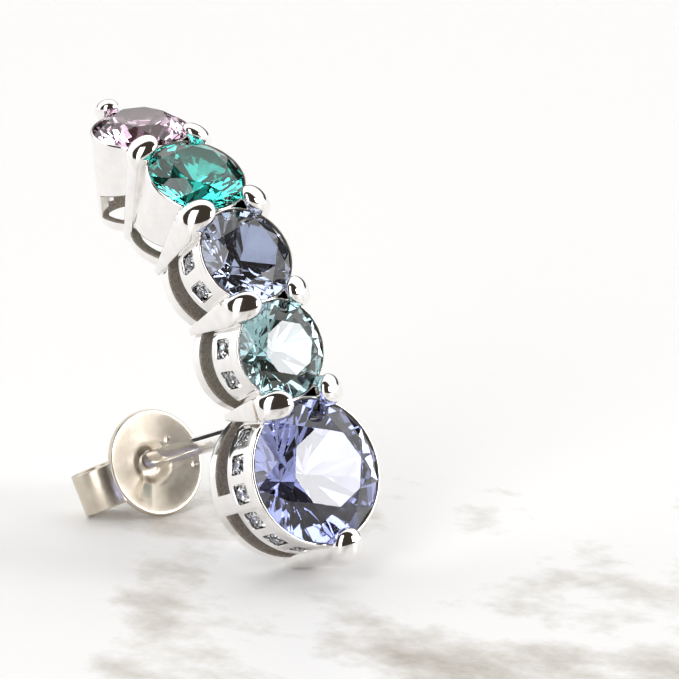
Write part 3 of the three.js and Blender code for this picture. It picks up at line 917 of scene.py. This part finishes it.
# %% [markdown]
# ## Finishes
#
# A finish in Blender is a small tree of nodes. Every one here starts from the position on the
# piece, in millimetres, so that it doesn't swim when something moves. We could wire each tree by
# hand, but a few helpers keep the recipes short enough to read: noise, a ramp of colours, a span
# of values and relief. The studio's room will use some of the same moves.

# %% A small node bench
class NodeBench:
    """The few moves that a finish and the studio's room share."""

    def __init__(self, tree):
        self.tree = tree

    def node(self, kind, **settings):
        made = self.tree.nodes.new(kind)
        for key, value in settings.items():
            setattr(made, key, value)
        return made

    def link(self, out, into):
        self.tree.links.new(out, into)

    def math(self, operation, a, b=0.0):
        made = self.node("ShaderNodeMath", operation=operation)
        for socket, value in zip(made.inputs, (a, b)):
            if isinstance(value, (int, float)):
                socket.default_value = value
            else:
                self.link(value, socket)
        return made.outputs[0]

    def reach(self, source, way):
        """How far a point or a direction reaches along a given way."""
        made = self.node("ShaderNodeVectorMath", operation="DOT_PRODUCT")
        self.link(source, made.inputs[0])
        made.inputs[1].default_value = way
        return made.outputs["Value"]

    def step(self, value, low, high):
        """0 below low, 1 above high, smooth between them."""
        made = self.node("ShaderNodeMapRange", interpolation_type="SMOOTHSTEP")
        made.inputs["From Min"].default_value = low
        made.inputs["From Max"].default_value = high
        self.link(value, made.inputs["Value"])
        return made.outputs["Result"]


class Finish(NodeBench):
    """A material, with the place on the piece in millimetres."""

    def __init__(self, name):
        self.material = bpy.data.materials.new(name)
        self.material.use_nodes = True
        super().__init__(self.material.node_tree)
        self.shader = self.tree.nodes["Principled BSDF"]
        coordinates = self.node("ShaderNodeTexCoord")
        scaled = self.node("ShaderNodeVectorMath", operation="SCALE")
        scaled.inputs["Scale"].default_value = 1 / MM
        self.link(coordinates.outputs["Object"], scaled.inputs[0])
        self.place = scaled.outputs[0]

    def set(self, **values):
        for key, value in values.items():
            self.shader.inputs[key.replace("_", " ")].default_value = value

    def noise(self, scale, detail=2.0, rough=0.5, stretch=None):
        """Noise with about this many lumps a millimetre."""
        made = self.node("ShaderNodeTexNoise")
        made.inputs["Scale"].default_value = scale
        made.inputs["Detail"].default_value = detail
        made.inputs["Roughness"].default_value = rough
        source = self.place
        if stretch:
            stretched = self.node("ShaderNodeMapping")
            stretched.inputs["Scale"].default_value = stretch
            self.link(source, stretched.inputs["Vector"])
            source = stretched.outputs[0]
        self.link(source, made.inputs["Vector"])
        return made.outputs["Fac"]

    def ramp(self, value, stops):
        made = self.node("ShaderNodeValToRGB")
        bar = made.color_ramp
        while len(bar.elements) < len(stops):
            bar.elements.new(0.5)
        for element, (at, colour) in zip(bar.elements, stops):
            element.position = at
            element.color = (*colour, 1)
        self.link(value, made.inputs["Fac"])
        return made.outputs["Color"]

    def span(self, value, low, high):
        """Turns 0 to 1 into low to high."""
        made = self.node("ShaderNodeMapRange")
        made.inputs["To Min"].default_value = low
        made.inputs["To Max"].default_value = high
        self.link(value, made.inputs["Value"])
        return made.outputs["Result"]

    def bump(self, height, depth):
        """Relief of this depth in millimetres."""
        made = self.node("ShaderNodeBump")
        made.inputs["Distance"].default_value = depth * MM
        made.inputs["Strength"].default_value = 1.0
        self.link(height, made.inputs["Height"])
        self.link(made.outputs["Normal"], self.shader.inputs["Normal"])


def srgb(code):
    """A colour from its six-figure code, as linear light."""
    values = [int(code[i:i + 2], 16) / 255 for i in (0, 2, 4)]
    return tuple(v / 12.92 if v <= 0.04045 else ((v + 0.055) / 1.055) ** 2.4 for v in values)


# %% [markdown]
# ## Three metals
#
# Plated silver is a mirror with faint waves left by the polishing mop. The unpolished casting is
# dull, darker and finely ribbed from the printed wax it was cast from. The nut is stamped from a
# warmer metal with a satin surface, so it takes the room's light without mirroring it.

# %% Mix the metals
def polished_rhodium():
    finish = Finish("rhodium_polished")
    finish.set(Metallic=1.0)
    waves = finish.noise(0.9, 3.0, 0.45)
    tone = finish.ramp(finish.noise(2.2, 4.0), [(0.3, srgb("eeecea")), (0.7, srgb("f7f5f3"))])
    finish.link(tone, finish.shader.inputs["Base Color"])
    finish.link(finish.span(finish.noise(5.0, 3.0), 0.05, 0.12), finish.shader.inputs["Roughness"])
    finish.bump(waves, 0.012)
    return finish.material


def rough_casting():
    finish = Finish("rhodium_as_cast")
    finish.set(Metallic=0.4)
    grain = finish.noise(9.0, 6.0, 0.65)
    ribs = finish.noise(1.0, 3.0, 0.6, stretch=(26.0, 3.0, 3.0))
    tone = finish.ramp(grain, [(0.3, srgb("7a7165")), (0.55, srgb("a0968a")), (0.8, srgb("beb5a9"))])
    finish.link(tone, finish.shader.inputs["Base Color"])
    finish.link(finish.span(grain, 0.5, 0.7), finish.shader.inputs["Roughness"])
    finish.bump(finish.math("ADD", grain, ribs), 0.05)
    return finish.material


def champagne_nickel():
    finish = Finish("champagne_nickel")
    finish.set(Metallic=1.0)
    tone = finish.ramp(finish.noise(1.6, 5.0, 0.6), [(0.3, srgb("cabfae")), (0.7, srgb("dbd2c3"))])
    finish.link(tone, finish.shader.inputs["Base Color"])
    finish.link(finish.span(finish.noise(4.0, 3.0), 0.26, 0.36), finish.shader.inputs["Roughness"])
    finish.bump(finish.noise(1.1, 3.0, 0.5), 0.02)
    return finish.material


rhodium, casting, nickel = polished_rhodium(), rough_casting(), champagne_nickel()
print("metals:", [metal.name for metal in (rhodium, casting, nickel)])

# %% [markdown]
# ## Six kinds of stone
#
# A cut stone is clear all through, so its finish is one refracting shader with no roughness. All
# the fire comes from the facets and the room. Light is tinted each time it crosses the surface,
# so the tint is paler than the stone will look. Two close tints in a soft cloud stop it from
# looking like plastic. The accent stones are nearly colourless and bend light a little more.

# %% Tint the stones
def gem(name, light, deep, bends=1.76):
    """A clear stone of two close tints; bends is its refractive index."""
    finish = Finish(name)
    finish.set(Metallic=0.0, Roughness=0.0, IOR=bends, Transmission_Weight=1.0)
    stops = [(0.35, srgb(light)), (0.65, srgb(deep))]
    finish.link(finish.ramp(finish.noise(0.5, 1.0), stops), finish.shader.inputs["Base Color"])
    return finish.material


TINTS = {
    "violet": ("a4ade8", "9ea8e4"),
    "aqua": ("b4dde3", "addae0"),
    "blue": ("abb6d2", "a4b0ce"),
    "green": ("48ddd0", "40d3c6"),
    "pink": ("f7d3ec", "f4cde8"),
}
gems = {name: gem("gem_" + name, *tints) for name, tints in TINTS.items()}
crystal = gem("accent_crystal", "eef1f6", "e8edf4", bends=1.9)
print("stones:", list(gems), "and", crystal.name)

# %% [markdown]
# ## Dress the pieces
#
# Each piece gets its finish and its place among the moving bodies, and the frame's node that it stands for is
# hidden.
# Faces that meet at a small angle are shaded as one smooth surface; sharper edges stay edges.
# The stones stay flat-shaded, because every facet is a true flat. The accent stones keep the
# frame's own meshes, which are cut well enough at their size, and only get the crystal.

# %% Finishes, bodies and replaced nodes
SHARP = 32  # degrees between two faces from which their edge stays sharp

for piece, finishes in ((setting, (rhodium, casting)), (nut, (nickel, nickel))):
    for number, material in enumerate(finishes):
        piece.data.materials[number] = material
    piece.data.shade_smooth()
    piece.data.set_sharp_from_angle(angle=math.radians(SHARP))

for name, piece in stones.items():
    piece.data.materials.clear()
    piece.data.materials.append(gems[name])
    piece.data.shade_flat()

for name in windows:
    for slot in frame["nodes"][name].material_slots:
        slot.material = crystal

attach(setting, "climber")
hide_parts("setting")
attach(nut, "nut")
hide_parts("ear_nut")
for name, piece in stones.items():
    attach(piece, "climber")
    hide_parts("stone_" + name)
print("pieces dressed: the setting, the nut,", len(stones), "stones and", len(windows), "accent stones")

# %% [markdown]
# ## The table
#
# The piece stands on a slab of pale marble. It is clouded on the camera's side and clears to
# plain white to the left and behind, where it would only distract. One stretched noise makes the
# clouds; adding a little to it, where the marble should be clear, lifts it past the ramp's grey.

# %% Lay the marble
behind = Vector((-toward.x, -toward.y, 0.0)).normalized()


def marble():
    finish = Finish("pale_marble")
    finish.set(Roughness=0.4, Specular_IOR_Level=0.25)
    clouds = finish.noise(0.09, 9.0, 0.64, stretch=(1.0, 0.7, 1.0))
    far = finish.step(finish.reach(finish.place, behind), 3.0, 20.0)
    left = finish.step(finish.reach(finish.place, -right), 3.0, 9.0)
    clear = finish.math("MULTIPLY", finish.math("MAXIMUM", far, left), 0.3)
    veins = finish.math("ADD", clouds, clear)
    tone = finish.ramp(veins, [(0.34, srgb("b5ada1")), (0.43, srgb("dcd8d1")), (0.52, srgb("fdfcfb"))])
    finish.link(tone, finish.shader.inputs["Base Color"])
    return finish.material


TABLE_RADIUS = 0.6  # metres
bpy.ops.mesh.primitive_circle_add(vertices=96, radius=TABLE_RADIUS, fill_type="NGON")
table = bpy.context.active_object
table.name = "marble_table"
table.data.materials.append(marble())
table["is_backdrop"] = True
print("table:", 2 * TABLE_RADIUS, "m across")

# %% [markdown]
# ## The light
#
# The light is a white studio, and polished metal shows nothing but this room, so the room is
# drawn with care. Everything behind and beside the piece is white. The half where the camera
# stands is dark, and that gives each bead its dark heart. Two white cards hang in the dark half:
# a small bright one where the table facet of the lowest stone looks, and a tall soft one that
# draws a white bar on every bead. A dark strip low behind the piece draws the thin dark line
# along the post and the rims. The room is fixed in the world, not to the camera, so it looks
# right from anywhere.

# %% Paint the room
world = bpy.data.worlds.new("studio")
bpy.context.scene.world = world
world.use_nodes = True


class Room(NodeBench):
    """Builds the world's brightness from caps and panels round the piece."""

    def __init__(self, tree, colour):
        super().__init__(tree)
        self.tree.nodes.clear()
        self.way = self.node("ShaderNodeTexCoord").outputs["Generated"]
        walls = self.node("ShaderNodeRGB")
        walls.outputs[0].default_value = (*colour, 1)
        self.colour = walls.outputs[0]

    def over(self, mask, colour):
        """Lays a colour over what is there, where the mask is 1."""
        made = self.node("ShaderNodeMix", data_type="RGBA")
        self.link(mask, made.inputs[0])
        self.link(self.colour, made.inputs[6])
        made.inputs[7].default_value = (*colour, 1)
        self.colour = made.outputs[2]

    def cap(self, centre, inner, outer, colour):
        """Everything within an angle of a direction, in degrees, fading out between the two."""
        near = self.reach(self.way, Vector(centre).normalized())
        mask = self.step(near, math.cos(math.radians(outer)), math.cos(math.radians(inner)))
        self.over(mask, colour)

    def panel(self, centre, upward, wide, tall, colour, soft=0.03):
        """A rectangle seen in a direction; wide and tall are half angles in degrees."""
        middle = Vector(centre).normalized()
        side = Vector(upward).cross(middle).normalized()
        top = middle.cross(side)
        depth = self.reach(self.way, middle)
        ahead = self.step(depth, 0.05, 0.06)  # nothing is drawn on the far side of the room
        depth = self.math("MAXIMUM", depth, 0.05)
        masks = []
        for axis, half in ((side, wide), (top, tall)):
            ratio = self.math("ABSOLUTE", self.math("DIVIDE", self.reach(self.way, axis), depth))
            edge = math.tan(math.radians(half))
            masks.append(self.math("SUBTRACT", 1.0, self.step(ratio, edge - soft, edge + soft)))
        self.over(self.math("MULTIPLY", ahead, self.math("MULTIPLY", *masks)), colour)

    def finish(self, strength):
        background = self.node("ShaderNodeBackground")
        background.inputs["Strength"].default_value = strength
        output = self.node("ShaderNodeOutputWorld")
        self.link(self.colour, background.inputs["Color"])
        self.link(background.outputs[0], output.inputs["Surface"])


def seen_on_bead(across, above):
    """The direction that a polished ball shows at a place on its disc, for the camera."""
    normal = right * across + up * above + toward * math.sqrt(1 - across ** 2 - above ** 2)
    return normal * (2 * normal.dot(toward)) - toward


room = Room(world.node_tree, (1.0, 1.0, 0.99))
room.cap(toward, 74, 79, (0.035, 0.028, 0.022))  # the dark half
room.panel(seen_on_bead(0.54, 0.15), up, 9, 12, (7.0, 7.0, 7.2))  # the small bright card
room.panel(seen_on_bead(-0.22, 0.1), up, 14, 38, (2.0, 2.0, 2.05))  # the tall soft card
room.panel(behind + Vector((0, 0, 0.16)), (0, 0, 1), 50, 7, (0.03, 0.03, 0.03))  # the dark strip
room.finish(1.38)
bpy.context.scene.view_settings.view_transform = "Standard"
print("nodes in the room:", len(world.node_tree.nodes))

# %% [markdown]
# ## Print the boxes and close
#
# Last of all we print our box and the construction's, in millimetres. Nothing we made may
# stand outside the part, because its size is already settled.

# %% Sizes and finish
visual_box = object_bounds()
for label, (low, high) in (("part", cad_box), ("model", visual_box)):
    print(label, [round((b - a) / MM, 2) for a, b in zip(low, high)], "mm")
